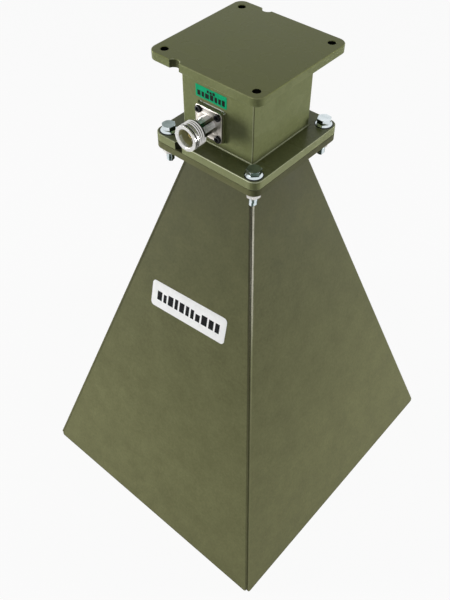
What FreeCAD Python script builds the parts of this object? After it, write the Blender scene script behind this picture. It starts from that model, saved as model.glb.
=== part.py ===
import FreeCAD, Part
import math
import os
import Sketcher

# Horn antenna, aperture down. The horn's axis is Z and its rim stands on Z = 0.
# The coaxial jack looks along -Y. All lengths are in millimetres.

doc = FreeCAD.newDocument("HornAntenna")
sheet = doc.addObject("Spreadsheet::Sheet", "Sizes")

sizes = {
    "horn_height": 303.7,
    "aperture_x": 217.8,
    "aperture_y": 238.0,
    "sheet_thick": 1.5,
    "seam_step": 0.3,
    "rim_corner": 2.2,
    "flange_margin": 6.8,
    "flange_corner": 6.0,
    "horn_flange_thick": 4.8,
    "adapter_flange_thick": 5.6,
    "body_size": 53.7,
    "body_height": 48.0,
    "body_corner": 0.8,
    "wall_x": 4.05,
    "wall_y": 5.15,
    "bead_width": 0.8,
    "bead_bevel": 0.5,
    "plate_margin": 7.0,
    "plate_corner": 6.0,
    "plate_thick": 5.2,
    "edge_break": 0.35,
    "bolt_offset": 6.6,
    "hole_offset": 6.15,
    "plate_hole": 4.7,
    "notch_offset": -19.2,
    "plate_notch_radius": 3.6,
    "plate_notch_depth": 2.8,
    "flange_notch_radius": 2.8,
    "flange_notch_depth": 2.8,
    "bolt_diameter": 5.0,
    "bolt_length": 21.4,
    "bolt_clearance": 0.5,
    "hex_flats": 8.0,
    "head_height": 4.4,
    "head_flange": 10.4,
    "head_flange_rim": 0.6,
    "head_flange_rise": 1.4,
    "nut_thick": 4.5,
    "nut_clearance": 0.1,
    "jack_offset": -4.0,
    "jack_rise": 15.5,
    "pad_size": 20.6,
    "pad_thick": 1.8,
    "jack_flange": 20.0,
    "jack_flange_thick": 1.4,
    "jack_flange_corner": 2.0,
    "jack_reach": 19.4,
    "barrel_diameter": 11.2,
    "coupling_diameter": 15.9,
    "coupling_length": 9.2,
    "thread_depth": 0.5,
    "lip_width": 1.1,
    "groove_width": 0.8,
    "groove_depth": 1.1,
    "front_bore": 10.8,
    "front_bore_depth": 9.0,
    "bore_bevel": 0.5,
    "core_bore": 6.6,
    "fit": 0.05,
    "contact_diameter": 3.1,
    "contact_recess": 4.2,
    "contact_seat": 3.0,
    "contact_hole": 1.7,
    "contact_hole_depth": 6.0,
    "slot_width": 0.4,
    "slot_depth": 4.5,
    "tail_diameter": 1.6,
    "tail_length": 4.5,
    "tail_space": 0.5,
    "probe_diameter": 5.0,
    "probe_length": 14.0,
    "probe_bevel": 1.0,
    "screw_pitch": 14.6,
    "screw_diameter": 3.0,
    "screw_length": 6.0,
    "screw_clearance": 0.2,
    "screw_head": 4.6,
    "screw_head_height": 1.3,
    "socket_flats": 2.0,
    "socket_depth": 0.8,
    "sticker_thick": 0.15,
    "band_width": 23.4,
    "band_height": 7.7,
    "band_corner": 0.4,
    "band_offset": -4.4,
    "band_rise": 31.9,
    "label_width": 68.0,
    "label_height": 20.5,
    "label_corner": 3.0,
    "label_offset": -0.9,
    "label_drop": 115.0,
    "label_turn": 4.5,
}

for row, (alias, number) in enumerate(sizes.items(), start=1):
    sheet.set("A" + str(row), alias)
    sheet.set("B" + str(row), str(number))
    sheet.setAlias("B" + str(row), alias)
doc.recompute()

# Heights of the faces that the pieces are stacked on
horn_top = "Sizes.horn_height"
joint = horn_top + " + Sizes.horn_flange_thick"
deck = joint + " + Sizes.adapter_flange_thick"
plate_seat = deck + " + Sizes.body_height"

# The clear width of the waveguide each way, which the horn's throat shares
cavity_x = "(Sizes.body_size - 2 * Sizes.wall_x)"
cavity_y = "(Sizes.body_size - 2 * Sizes.wall_y)"

# The bolts and the end plate's holes stand beside the waveguide, and the flanges and plate reach past them
bolt_pitch = "(Sizes.body_size + 2 * Sizes.bolt_offset)"
hole_pitch = "(Sizes.body_size + 2 * Sizes.hole_offset)"
plate_size = "(" + hole_pitch + " + 2 * Sizes.plate_margin)"
flange_size = "(" + bolt_pitch + " + 2 * Sizes.flange_margin)"

# The jack's axis, and distances along it from the outer face of the waveguide wall
jack_height = deck + " + Sizes.jack_rise"
wall_face = "-Sizes.body_size / 2"
jack_seat = "Sizes.pad_thick"
screw_seat = "(Sizes.pad_thick + Sizes.jack_flange_thick)"
jack_front = "(Sizes.pad_thick + Sizes.jack_flange_thick + Sizes.jack_reach)"
bore_floor = "(" + jack_front + " - Sizes.front_bore_depth)"
contact_step = "(" + bore_floor + " - Sizes.contact_seat)"

# The horn walls lean out: the run of each lean, and the sheet's thickness measured level
lean_x = "((Sizes.aperture_x - " + cavity_x + ") / 2 / Sizes.horn_height)"
lean_y = "((Sizes.aperture_y - " + cavity_y + ") / 2 / Sizes.horn_height)"
level_x = "(Sizes.sheet_thick * sqrt(1 + " + lean_x + " ^ 2))"
level_y = "(Sizes.sheet_thick * sqrt(1 + " + lean_y + " ^ 2))"


def new_body(name):
    body = doc.addObject("PartDesign::Body", name)
    body.Label = name
    return body


def origin_plane(body, role):
    return next(item for item in body.Origin.OriginFeatures if item.Role == role)


def new_sketch(body, name, role="XY_Plane", lift=None, shift_x=None, shift_y=None):
    """A sketch on one of the body's own planes, lifted and shifted by formulas."""
    sketch = body.newObject("Sketcher::SketchObject", body.Name + "_" + name)
    sketch.AttachmentSupport = (origin_plane(body, role), "")
    sketch.MapMode = "FlatFace"
    for axis, formula in (("x", shift_x), ("y", shift_y), ("z", lift)):
        if formula:
            sketch.setExpression("AttachmentOffset.Base." + axis, formula)
    return sketch


def hold_point(sketch, edge, end, across, along, label):
    """Pin one point of a sketch at a place given by two formulas."""
    for kind, formula, axis in (("X", across, -2), ("Y", along, -1)):
        if formula == "0":
            sketch.addConstraint(Sketcher.Constraint("PointOnObject", edge, end, axis))
            continue
        index = sketch.addConstraint(Sketcher.Constraint("Distance" + kind, edge, end, 1.0))
        sketch.renameConstraint(index, label + kind)
        sketch.setExpression("Constraints." + label + kind, formula)


def draw_outline(sketch, points):
    """A closed outline through points given as pairs of formulas."""
    count = len(points)
    turns = [2 * math.pi * step / count for step in range(count)]
    starts = [FreeCAD.Vector(5 * math.cos(turn), 5 * math.sin(turn), 0) for turn in turns]
    for step in range(count):
        sketch.addGeometry(Part.LineSegment(starts[step], starts[(step + 1) % count]))
    for step in range(count):
        sketch.addConstraint(Sketcher.Constraint("Coincident", step, 2, (step + 1) % count, 1))
    for step, (across, along) in enumerate(points):
        hold_point(sketch, step, 1, across, along, "Corner" + str(step))


def draw_rectangle(sketch, width, height):
    right, top = "(" + width + ") / 2", "(" + height + ") / 2"
    left, bottom = "-" + right, "-" + top
    draw_outline(sketch, [(left, bottom), (right, bottom), (right, top), (left, top)])


def draw_hexagon(sketch, flats):
    side, low, high = flats + " / 2", flats + " / sqrt(12)", flats + " / sqrt(3)"
    draw_outline(sketch, [
        (side, "-" + low), (side, low), ("0", high),
        ("-" + side, low), ("-" + side, "-" + low), ("0", "-" + high)])


def draw_circle(sketch, diameter, across="0", along="0"):
    edge = sketch.addGeometry(Part.Circle(FreeCAD.Vector(1, 1, 0), FreeCAD.Vector(0, 0, 1), 2))
    index = sketch.addConstraint(Sketcher.Constraint("Diameter", edge, 4.0))
    sketch.renameConstraint(index, "Width")
    sketch.setExpression("Constraints.Width", diameter)
    hold_point(sketch, edge, 3, across, along, "Centre")


def add_pad(body, sketch, length, downward=False):
    pad = body.newObject("PartDesign::Pad", sketch.Name + "_pad")
    pad.Profile = sketch
    pad.setExpression("Length", length)
    pad.Reversed = downward
    doc.recompute()
    return pad


def add_pocket(body, sketch, depth=None):
    """Cut a sketch into the body, to a depth or right through both ways."""
    pocket = body.newObject("PartDesign::Pocket", sketch.Name + "_cut")
    pocket.Profile = sketch
    if depth:
        pocket.setExpression("Length", depth)
    else:
        pocket.Type = "ThroughAll"
        pocket.Midplane = True
    doc.recompute()
    return pocket


def add_round(body, sketch, cut=False):
    """Turn a sketch round its own upright axis, as a solid or as a cut."""
    kind = "PartDesign::Groove" if cut else "PartDesign::Revolution"
    turned = body.newObject(kind, sketch.Name + "_turned")
    turned.Profile = sketch
    turned.ReferenceAxis = (sketch, ["V_Axis"])
    turned.Angle = 360
    doc.recompute()
    return turned


def repeat_round(body, feature, sketch, count, angle=360):
    pattern = body.newObject("PartDesign::PolarPattern", feature.Name + "_pattern")
    pattern.Originals = [feature]
    pattern.Axis = (sketch, ["N_Axis"])
    pattern.Angle = angle
    pattern.Occurrences = count
    body.Tip = pattern
    doc.recompute()
    return pattern


def repeat_mirrored(body, feature, role):
    mirror = body.newObject("PartDesign::Mirrored", feature.Name + "_mirrored")
    mirror.Originals = [feature]
    mirror.MirrorPlane = (origin_plane(body, role), [""])
    body.Tip = mirror
    doc.recompute()
    return mirror


def edges_where(feature, wanted):
    edges = enumerate(feature.Shape.Edges, start=1)
    return ["Edge" + str(number) for number, edge in edges if wanted(edge)]


def is_upright(edge):
    first, last = edge.Vertexes[0].Point, edge.Vertexes[-1].Point
    return len(edge.Vertexes) == 2 and math.hypot(last.x - first.x, last.y - first.y) < 1e-6


def is_level(edge, height):
    return edge.BoundBox.ZLength < 1e-6 and abs(edge.BoundBox.ZMin - height) < 1e-6


def add_dress(body, kind, feature, names, size_name, size):
    """A fillet or a chamfer on named edges or faces of the feature before it."""
    dress = body.newObject("PartDesign::" + kind, feature.Name + "_" + kind.lower())
    dress.Base = (feature, names)
    dress.setExpression(size_name, size)
    doc.recompute()
    return dress


def round_uprights(body, feature, radius):
    return add_dress(body, "Fillet", feature, edges_where(feature, is_upright), "Radius", radius)


def drill_four(body, name, pitch, diameter, depth=None, **where):
    """Four equal holes at the corners of a square."""
    sketch = new_sketch(body, name, **where)
    draw_circle(sketch, diameter, pitch + " / 2", pitch + " / 2")
    pocket = add_pocket(body, sketch, depth)
    return repeat_round(body, pocket, sketch, 4)


def place(body, across="0", back="0", height="0", axis=(0, 0, 1), angle=None):
    """Put a body in the part's frame by formulas, turned about one axis."""
    body.Placement = FreeCAD.Placement(FreeCAD.Vector(), FreeCAD.Rotation(FreeCAD.Vector(*axis), 1))
    body.setExpression(".Placement.Base.x", across)
    body.setExpression(".Placement.Base.y", back)
    body.setExpression(".Placement.Base.z", height)
    body.setExpression(".Placement.Rotation.Angle", angle or "0 deg")


def square_slab(name, side, thick, corner):
    """A square slab with round corners, its underside at its own zero."""
    body = new_body(name)
    outline = new_sketch(body, "outline")
    draw_rectangle(outline, side, side)
    round_uprights(body, add_pad(body, outline, thick), corner)
    return body


def cut_notch(body, side, radius, depth):
    """A round notch in the front edge."""
    notch = new_sketch(body, "notch")
    centre = "-" + side + " / 2 - " + radius + " + " + depth
    draw_circle(notch, radius + " * 2", "Sizes.notch_offset", centre)
    return add_pocket(body, notch)


def cut_cavity(body):
    cavity = new_sketch(body, "cavity")
    draw_rectangle(cavity, cavity_x, cavity_y)
    return add_pocket(body, cavity)


def break_edges(body):
    """Bevel the edges of a slab's lower and upper faces."""
    slab = body.Tip
    bottom, top = slab.Shape.BoundBox.ZMin, slab.Shape.BoundBox.ZMax
    rims = edges_where(slab, lambda edge: is_level(edge, bottom) or is_level(edge, top))
    return add_dress(body, "Chamfer", slab, rims, "Size", "Sizes.edge_break")


# The end plate, which closes the waveguide on top
def mounting_plate():
    body = square_slab("mounting_plate", plate_size, "Sizes.plate_thick", "Sizes.plate_corner")
    notch = cut_notch(body, plate_size, "Sizes.plate_notch_radius", "Sizes.plate_notch_depth")
    repeat_mirrored(body, notch, "XZ_Plane")
    break_edges(body)
    holes = drill_four(body, "hole", hole_pitch, "Sizes.plate_hole")
    top = holes.Shape.BoundBox.ZMax
    mouths = edges_where(holes, lambda edge: is_level(edge, top) and len(edge.Vertexes) == 1)
    add_dress(body, "Chamfer", holes, mouths, "Size", "Sizes.edge_break")
    place(body, height=plate_seat)
    return body


# The two flanges, bolted face to face
def adapter_flange():
    body = square_slab("adapter_flange", flange_size, "Sizes.adapter_flange_thick", "Sizes.flange_corner")
    cut_notch(body, flange_size, "Sizes.flange_notch_radius", "Sizes.flange_notch_depth")
    break_edges(body)
    drill_four(body, "hole", bolt_pitch, "Sizes.bolt_diameter + Sizes.bolt_clearance")
    cut_cavity(body)
    place(body, height=joint)
    return body


def horn_flange():
    body = square_slab("horn_flange", flange_size, "Sizes.horn_flange_thick", "Sizes.flange_corner")
    break_edges(body)
    drill_four(body, "hole", bolt_pitch, "Sizes.bolt_diameter + Sizes.bolt_clearance")
    cut_cavity(body)
    place(body, height=horn_top)
    return body


# The square waveguide tube, with a weld bead round its foot and the jack's holes in its front wall
def waveguide_body():
    body = new_body("waveguide_body")
    outline = new_sketch(body, "outline")
    draw_rectangle(outline, "Sizes.body_size", "Sizes.body_size")
    round_uprights(body, add_pad(body, outline, "Sizes.body_height"), "Sizes.body_corner")
    foot = new_sketch(body, "foot")
    bead_size = "Sizes.body_size + 2 * Sizes.bead_width"
    draw_rectangle(foot, bead_size, bead_size)
    bead = add_pad(body, foot, "Sizes.bead_width")
    reach = (sizes["body_size"] / 2 + sizes["bead_width"]) * 0.999

    def bead_rim(edge):
        box = edge.BoundBox
        outer = max(abs(box.XMin), abs(box.XMax), abs(box.YMin), abs(box.YMax)) > reach
        return outer and is_level(edge, sizes["bead_width"])

    add_dress(body, "Chamfer", bead, edges_where(bead, bead_rim), "Size", "Sizes.bead_bevel")
    cut_cavity(body)
    on_wall = {"role": "XZ_Plane", "lift": "Sizes.body_size / 2",
               "shift_x": "Sizes.jack_offset", "shift_y": "Sizes.jack_rise"}
    bore = new_sketch(body, "bore", **on_wall)
    draw_circle(bore, "Sizes.core_bore")
    add_pocket(body, bore, "Sizes.wall_y")
    drill_four(body, "tapped_hole", "Sizes.screw_pitch", "Sizes.screw_diameter + 2 * Sizes.fit",
               depth="Sizes.screw_length - " + screw_seat + " + Sizes.tail_space", **on_wall)
    place(body, height=deck)
    return body


# One flat wall of the horn, leaning out from the throat, with its two slanting ends cut off
# and its two corners at the rim rounded. It is drawn as the front wall, and its place turns it
# to its own side.
def horn_panel(name, near, level, side, turn):
    body = new_body(name)
    strip = new_sketch(body, "strip", "YZ_Plane")
    draw_outline(strip, [
        ("-" + near["rim"], "0"), ("-" + near["throat"], horn_top),
        ("-" + near["throat"] + " - " + level, horn_top), ("-" + near["rim"] + " - " + level, "0")])
    blank = side["rim"] + " + Sizes.sheet_thick"
    add_pad(body, strip, "2 * (" + blank + ")").Midplane = True
    offcut = new_sketch(body, "offcut", "XZ_Plane")
    draw_outline(offcut, [
        (side["rim"], "0"), (blank + " * 2", "0"), (blank + " * 2", horn_top), (side["throat"], horn_top)])
    trimmed = add_pocket(body, offcut)
    wall = repeat_mirrored(body, trimmed, "YZ_Plane")

    def rim_end(edge):
        return is_level(edge, 0) and edge.BoundBox.XLength < 1e-6

    add_dress(body, "Fillet", wall, edges_where(wall, rim_end), "Radius", "Sizes.rim_corner")
    place(body, angle=turn)
    return body


# The left and right walls run past the ends of the front and back ones and stop just short
# of their outer faces, which leaves a fine step down each corner, where the seam is soldered.
def horn_panels():
    span_x = {"rim": "Sizes.aperture_x / 2", "throat": cavity_x + " / 2"}
    span_y = {"rim": "Sizes.aperture_y / 2", "throat": cavity_y + " / 2"}
    past_y = {end: "(" + half + " + " + level_y + " - Sizes.seam_step)" for end, half in span_y.items()}
    return [
        horn_panel("horn_panel_front", span_y, level_y, span_x, "0 deg"),
        horn_panel("horn_panel_right", span_x, level_x, past_y, "90 deg"),
        horn_panel("horn_panel_back", span_y, level_y, span_x, "180 deg"),
        horn_panel("horn_panel_left", span_x, level_x, past_y, "270 deg")]


# The jack's pieces stand on their own Z axis and are laid over to look along -Y
def lay_on_wall(body, distance="0"):
    place(body, "Sizes.jack_offset", wall_face + " - " + distance, jack_height, (1, 0, 0), "90 deg")


def connector_pad():
    body = new_body("connector_pad")
    outline = new_sketch(body, "outline")
    draw_rectangle(outline, "Sizes.pad_size", "Sizes.pad_size")
    round_uprights(body, add_pad(body, outline, "Sizes.pad_thick"), "Sizes.body_corner")
    bore = new_sketch(body, "bore")
    draw_circle(bore, "Sizes.core_bore")
    add_pocket(body, bore)
    drill_four(body, "tapped_hole", "Sizes.screw_pitch", "Sizes.screw_diameter + 2 * Sizes.fit")
    lay_on_wall(body)
    return body


def connector_shell():
    body = new_body("connector_shell")
    outline = new_sketch(body, "outline")
    draw_rectangle(outline, "Sizes.jack_flange", "Sizes.jack_flange")
    flange = add_pad(body, outline, "Sizes.jack_flange_thick")
    round_uprights(body, flange, "Sizes.jack_flange_corner")
    drill_four(body, "hole", "Sizes.screw_pitch", "Sizes.screw_diameter + Sizes.screw_clearance")
    bore = new_sketch(body, "bore")
    draw_circle(bore, "Sizes.core_bore")
    add_pocket(body, bore)
    core, barrel = "Sizes.core_bore / 2", "Sizes.barrel_diameter / 2"
    crest = "Sizes.coupling_diameter / 2"
    root, groove = crest + " - Sizes.thread_depth", crest + " - Sizes.groove_depth"
    front = "Sizes.jack_flange_thick + Sizes.jack_reach"
    lip_back = front + " - Sizes.lip_width"
    groove_back = lip_back + " - Sizes.groove_width"
    coupling_back = front + " - Sizes.coupling_length"
    wide, floor = "Sizes.front_bore / 2", front + " - Sizes.front_bore_depth"
    profile = new_sketch(body, "profile", "XZ_Plane")
    draw_outline(profile, [
        (core, "0"), (barrel, "0"), (barrel, coupling_back), (root, coupling_back),
        (root, groove_back), (groove, groove_back), (groove, lip_back), (crest, lip_back),
        (crest, front), (wide + " + Sizes.bore_bevel", front), (wide, front + " - Sizes.bore_bevel"),
        (wide, floor), (core, floor)])
    add_round(body, profile)
    lay_on_wall(body, jack_seat)
    return body


def connector_insulator():
    body = new_body("connector_insulator")
    outer = "Sizes.core_bore / 2 - Sizes.fit"
    tail = "Sizes.tail_diameter / 2 + Sizes.fit"
    seat = "Sizes.contact_diameter / 2 + Sizes.fit"
    inner_end = "-Sizes.wall_y"
    profile = new_sketch(body, "profile", "XZ_Plane")
    draw_outline(profile, [
        (tail, inner_end), (outer, inner_end), (outer, bore_floor),
        (seat, bore_floor), (seat, contact_step), (tail, contact_step)])
    add_round(body, profile)
    lay_on_wall(body)
    return body


def centre_contact():
    body = new_body("centre_contact")
    tail, outer = "Sizes.tail_diameter / 2", "Sizes.contact_diameter / 2"
    hole = "Sizes.contact_hole / 2"
    tail_end = "-Sizes.wall_y - Sizes.tail_length"
    tip = jack_front + " - Sizes.contact_recess"
    hole_end = tip + " - Sizes.contact_hole_depth"
    profile = new_sketch(body, "profile", "XZ_Plane")
    draw_outline(profile, [
        ("0", tail_end), (tail, tail_end), (tail, contact_step), (outer, contact_step),
        (outer, tip), (hole, tip), (hole, hole_end), ("0", hole_end)])
    add_round(body, profile)
    slot = new_sketch(body, "slot", lift=tip)
    draw_rectangle(slot, "2 * Sizes.contact_diameter", "Sizes.slot_width")
    cut = add_pocket(body, slot, "Sizes.slot_depth")
    repeat_round(body, cut, slot, 2, 90)
    lay_on_wall(body)
    return body


def feed_probe():
    body = new_body("feed_probe")
    hole = "Sizes.tail_diameter / 2 + Sizes.fit"
    outer = "Sizes.probe_diameter / 2"
    near = "-Sizes.wall_y"
    far = near + " - Sizes.probe_length"
    hole_end = near + " - Sizes.tail_length - Sizes.tail_space"
    profile = new_sketch(body, "profile", "XZ_Plane")
    draw_outline(profile, [
        (hole, near), (outer, near), (outer, far), ("0", far), ("0", hole_end), (hole, hole_end)])
    turned = add_round(body, profile)
    end = turned.Shape.BoundBox.ZMin
    add_dress(body, "Chamfer", turned, edges_where(turned, lambda edge: is_level(edge, end)),
              "Size", "Sizes.probe_bevel")
    lay_on_wall(body)
    return body


def bevel_hexagon(body, flats, top):
    """Turn off the corners of a hexagon at its upper end."""
    corner = flats + " / sqrt(3) + Sizes.edge_break"
    inside = flats + " / 2"
    low = top + " - (" + corner + " - " + inside + ") / sqrt(3)"
    cutter = new_sketch(body, "bevel", "XZ_Plane")
    draw_outline(cutter, [(inside, top), (corner, top), (corner, low)])
    return add_round(body, cutter, cut=True)


# The bolt stands on the seat of its head, and its shank hangs down through both flanges
def flange_bolt(name, side_x, side_y, turn):
    body = new_body(name)
    rim, neck = "Sizes.head_flange / 2", "Sizes.hex_flats / 2"
    collar = new_sketch(body, "collar", "XZ_Plane")
    draw_outline(collar, [
        ("0", "0"), (rim, "0"), (rim, "Sizes.head_flange_rim"),
        (neck, "Sizes.head_flange_rise"), ("0", "Sizes.head_flange_rise")])
    add_round(body, collar)
    head = new_sketch(body, "head")
    draw_hexagon(head, "Sizes.hex_flats")
    add_pad(body, head, "Sizes.head_height")
    bevel_hexagon(body, "Sizes.hex_flats", "Sizes.head_height")
    shank = new_sketch(body, "shank")
    draw_circle(shank, "Sizes.bolt_diameter")
    add_pad(body, shank, "Sizes.bolt_length", downward=True)
    place(body, side_x + bolt_pitch + " / 2", side_y + bolt_pitch + " / 2", deck, angle=turn)
    return body


def flange_nut(name, side_x, side_y, turn):
    body = new_body(name)
    outline = new_sketch(body, "outline")
    draw_hexagon(outline, "Sizes.hex_flats")
    add_pad(body, outline, "Sizes.nut_thick", downward=True)
    bore = new_sketch(body, "bore")
    draw_circle(bore, "Sizes.bolt_diameter + Sizes.nut_clearance")
    add_pocket(body, bore)
    place(body, side_x + bolt_pitch + " / 2", side_y + bolt_pitch + " / 2", horn_top, angle=turn)
    return body


def connector_screw(name, side_x, side_z):
    body = new_body(name)
    cap = new_sketch(body, "cap")
    draw_circle(cap, "Sizes.screw_head")
    add_pad(body, cap, "Sizes.screw_head_height")
    socket = new_sketch(body, "socket", lift="Sizes.screw_head_height")
    draw_hexagon(socket, "Sizes.socket_flats")
    add_pocket(body, socket, "Sizes.socket_depth")
    shank = new_sketch(body, "shank")
    draw_circle(shank, "Sizes.screw_diameter")
    add_pad(body, shank, "Sizes.screw_length", downward=True)
    place(body, "Sizes.jack_offset " + side_x + " Sizes.screw_pitch / 2", wall_face + " - " + screw_seat,
          jack_height + " " + side_z + " Sizes.screw_pitch / 2", (1, 0, 0), "90 deg")
    return body


# Thin stickers, laid face down on the wall that carries them
def sticker(name, width, height, corner, turn=None):
    body = new_body(name)
    outline = new_sketch(body, "outline")
    if turn:
        outline.setExpression("AttachmentOffset.Rotation.Angle", turn)
    draw_rectangle(outline, width, height)
    round_uprights(body, add_pad(body, outline, "Sizes.sticker_thick"), corner)
    return body


def band_label():
    body = sticker("band_label", "Sizes.band_width", "Sizes.band_height", "Sizes.band_corner")
    place(body, "Sizes.band_offset", wall_face, deck + " + Sizes.band_rise", (1, 0, 0), "90 deg")
    return body


def horn_label():
    body = sticker("horn_label", "Sizes.label_width", "Sizes.label_height", "Sizes.label_corner",
                   "Sizes.label_turn * 1 deg")
    slope = "atan(" + lean_y + ")"
    front = "-" + cavity_y + " / 2 - " + level_y + " - Sizes.label_drop * sin(" + slope + ")"
    height = horn_top + " - Sizes.label_drop * cos(" + slope + ")"
    place(body, "Sizes.label_offset", front, height, (1, 0, 0), "90 deg - " + slope)
    return body


# Corners of the bolt square, in order front left, front right, back right, back left,
# with the turn that each bolt head and each nut came to rest at
bolt_corners = [
    ("-", "-", "-10 deg", "15 deg"),
    ("", "-", "-44 deg", "45 deg"),
    ("", "", "-37 deg", "20 deg"),
    ("-", "", "8 deg", "52 deg")]
screw_corners = [("-", "+"), ("+", "+"), ("+", "-"), ("-", "-")]

pieces = [mounting_plate(), waveguide_body(), adapter_flange(), horn_flange()]
pieces += horn_panels()
pieces += [connector_pad(), connector_shell(), connector_insulator(), centre_contact(), feed_probe()]
for number, (side_x, side_y, bolt_turn, nut_turn) in enumerate(bolt_corners, start=1):
    pieces.append(flange_bolt("flange_bolt_" + str(number), side_x, side_y, bolt_turn))
    pieces.append(flange_nut("flange_nut_" + str(number), side_x, side_y, nut_turn))
for number, (side_x, side_z) in enumerate(screw_corners, start=1):
    pieces.append(connector_screw("connector_screw_" + str(number), side_x, side_z))
pieces += [band_label(), horn_label()]
doc.recompute()

for item in doc.Objects:
    if "Invalid" in item.State or "Error" in item.State:
        raise RuntimeError(item.Name + " did not build: " + str(item.State))
for piece in pieces:
    if piece.Shape.isNull() or not piece.Shape.isValid() or not piece.Shape.Solids:
        raise RuntimeError(piece.Label + " has no sound solid")

os.makedirs("parts", exist_ok=True)
for piece in pieces:
    piece.Shape.exportStep("parts/" + piece.Label + ".step")
    box = piece.Shape.BoundBox
    corners = [round(value, 2) for value in (box.XMin, box.YMin, box.ZMin, box.XMax, box.YMax, box.ZMax)]
    print(piece.Label, len(piece.Shape.Solids), round(piece.Shape.Volume, 2), corners)
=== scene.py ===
import math
import bmesh
import bpy
from mathutils import Matrix, Vector


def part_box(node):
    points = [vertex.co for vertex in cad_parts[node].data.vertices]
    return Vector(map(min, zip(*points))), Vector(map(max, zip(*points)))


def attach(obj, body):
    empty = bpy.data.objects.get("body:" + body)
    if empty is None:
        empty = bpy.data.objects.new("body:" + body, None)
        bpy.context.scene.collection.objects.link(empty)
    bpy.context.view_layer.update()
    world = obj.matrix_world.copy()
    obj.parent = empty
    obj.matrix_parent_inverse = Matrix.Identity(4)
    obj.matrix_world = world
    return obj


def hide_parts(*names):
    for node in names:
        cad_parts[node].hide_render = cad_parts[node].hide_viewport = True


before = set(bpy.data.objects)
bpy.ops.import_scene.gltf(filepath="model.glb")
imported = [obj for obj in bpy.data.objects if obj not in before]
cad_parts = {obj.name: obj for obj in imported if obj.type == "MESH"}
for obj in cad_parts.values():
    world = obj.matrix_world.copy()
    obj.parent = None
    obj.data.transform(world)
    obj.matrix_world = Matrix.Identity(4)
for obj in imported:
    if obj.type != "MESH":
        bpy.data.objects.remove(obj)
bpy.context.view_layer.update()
mm = 0.001
print("frame loaded:", len(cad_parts), "nodes")


def addObject(name, data):
    thing = bpy.data.objects.new(name, data)
    bpy.context.scene.collection.objects.link(thing)
    return thing


# Camera, at the photograph's place
photoCamera = {"place": (239.3, -292.83, 569.9), "target": (-9.1, -10.1, 160.0), "roll": -0.147,
               "lens": 43.75, "film": 36.0}


def addCamera(sizes):
    data = bpy.data.cameras.new("photoCamera")
    data.sensor_fit = "VERTICAL"
    data.sensor_height = sizes["film"]
    data.sensor_width = sizes["film"]
    data.lens = sizes["lens"]
    data.clip_start = 0.01
    camera = addObject("photoCamera", data)
    place, target = Vector(sizes["place"]) * mm, Vector(sizes["target"]) * mm
    camera.location = place
    looking = (target - place).to_track_quat("-Z", "Y").to_matrix()
    camera.rotation_euler = (looking @ Matrix.Rotation(math.radians(sizes["roll"]), 3, "Z")).to_euler()
    bpy.context.scene.camera = camera


addCamera(photoCamera)


# Small helpers for node trees
def addNode(tree, kind, inputs=None, **settings):
    node = tree.nodes.new(kind)
    for key, value in settings.items():
        setattr(node, key, value)
    for key, value in (inputs or {}).items():
        feed(tree, node.inputs[key], value)
    return node


def feed(tree, socket, value):  # a node stands for its first output
    if isinstance(value, bpy.types.Node):
        value = value.outputs[0]
    if isinstance(value, bpy.types.NodeSocket):
        tree.links.new(value, socket)
    else:
        socket.default_value = value


def mathOf(tree, operation, first, second=0.0, clamp=False):
    node = addNode(tree, "ShaderNodeMath", {0: first, 1: second}, operation=operation, use_clamp=clamp)
    return node.outputs[0]


def product(tree, first, *others):
    for other in others:
        first = mathOf(tree, "MULTIPLY", first, other)
    return first


def absolute(tree, value):
    return mathOf(tree, "ABSOLUTE", value)


def splitXyz(tree, vector):
    return addNode(tree, "ShaderNodeSeparateXYZ", {0: vector}).outputs


def faceNormal(tree):
    return splitXyz(tree, addNode(tree, "ShaderNodeNewGeometry").outputs["True Normal"])


def spread(tree, value, low, high, toLow=0.0, toHigh=1.0):  # takes one range to another, and no further
    node = addNode(tree, "ShaderNodeMapRange", {
        "Value": value, "From Min": low, "From Max": high, "To Min": toLow, "To Max": toHigh})
    return node.outputs["Result"]


def blendColour(tree, factor, first, second, way="MIX"):
    node = addNode(tree, "ShaderNodeMix", {0: factor}, data_type="RGBA", blend_type=way)
    feed(tree, node.inputs[6], first)
    feed(tree, node.inputs[7], second)
    return node.outputs[2]


def noiseOf(tree, place, scale, detail=3.0, rough=0.5, stretch=None):
    if stretch:
        place = addNode(tree, "ShaderNodeMapping", {"Vector": place, "Scale": stretch})
    return addNode(tree, "ShaderNodeTexNoise", {
        "Vector": place, "Scale": scale, "Detail": detail, "Roughness": rough}).outputs["Fac"]


def addBump(tree, height, strength, distance, normal=None):
    node = addNode(tree, "ShaderNodeBump", {
        "Height": height, "Strength": strength, "Distance": distance * mm})
    if normal is not None:
        tree.links.new(normal, node.inputs["Normal"])
    return node.outputs[0]


def newMaterial(name):
    material = bpy.data.materials.new(name)
    material.use_nodes = True
    tree = material.node_tree
    shader = tree.nodes["Principled BSDF"]
    place = addNode(tree, "ShaderNodeTexCoord").outputs["Object"]
    return material, tree, shader, place


def rgb(red, green, blue):
    return (red, green, blue, 1.0)


# How near a point is to an edge, 0 on a flat and towards 1 on the edge
def edgeMask(tree, radius):
    rounded = addNode(tree, "ShaderNodeBevel", {"Radius": radius * mm}, samples=6)
    flat = addNode(tree, "ShaderNodeNewGeometry").outputs["True Normal"]
    agreeing = addNode(tree, "ShaderNodeVectorMath", {0: rounded, 1: flat}, operation="DOT_PRODUCT")
    return mathOf(tree, "SUBTRACT", 1.0, agreeing.outputs["Value"], clamp=True)


# Scale, detail and roughness of each grain in the paint
grains = {"mottle": (60, 4, 0.62), "speck": (520, 3, 0.7), "skin": (60, 3, 0.5), "peel": (620, 2, 0.5),
          "waves": (28, 2, 0.5), "patches": (130, 4, 0.65), "scuffs": (1500, 2, 0.5), "waver": (180, 3),
          "flakes": (900, 4, 0.7)}


def grainOf(tree, place, name):
    return noiseOf(tree, place, *grains[name])


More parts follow.
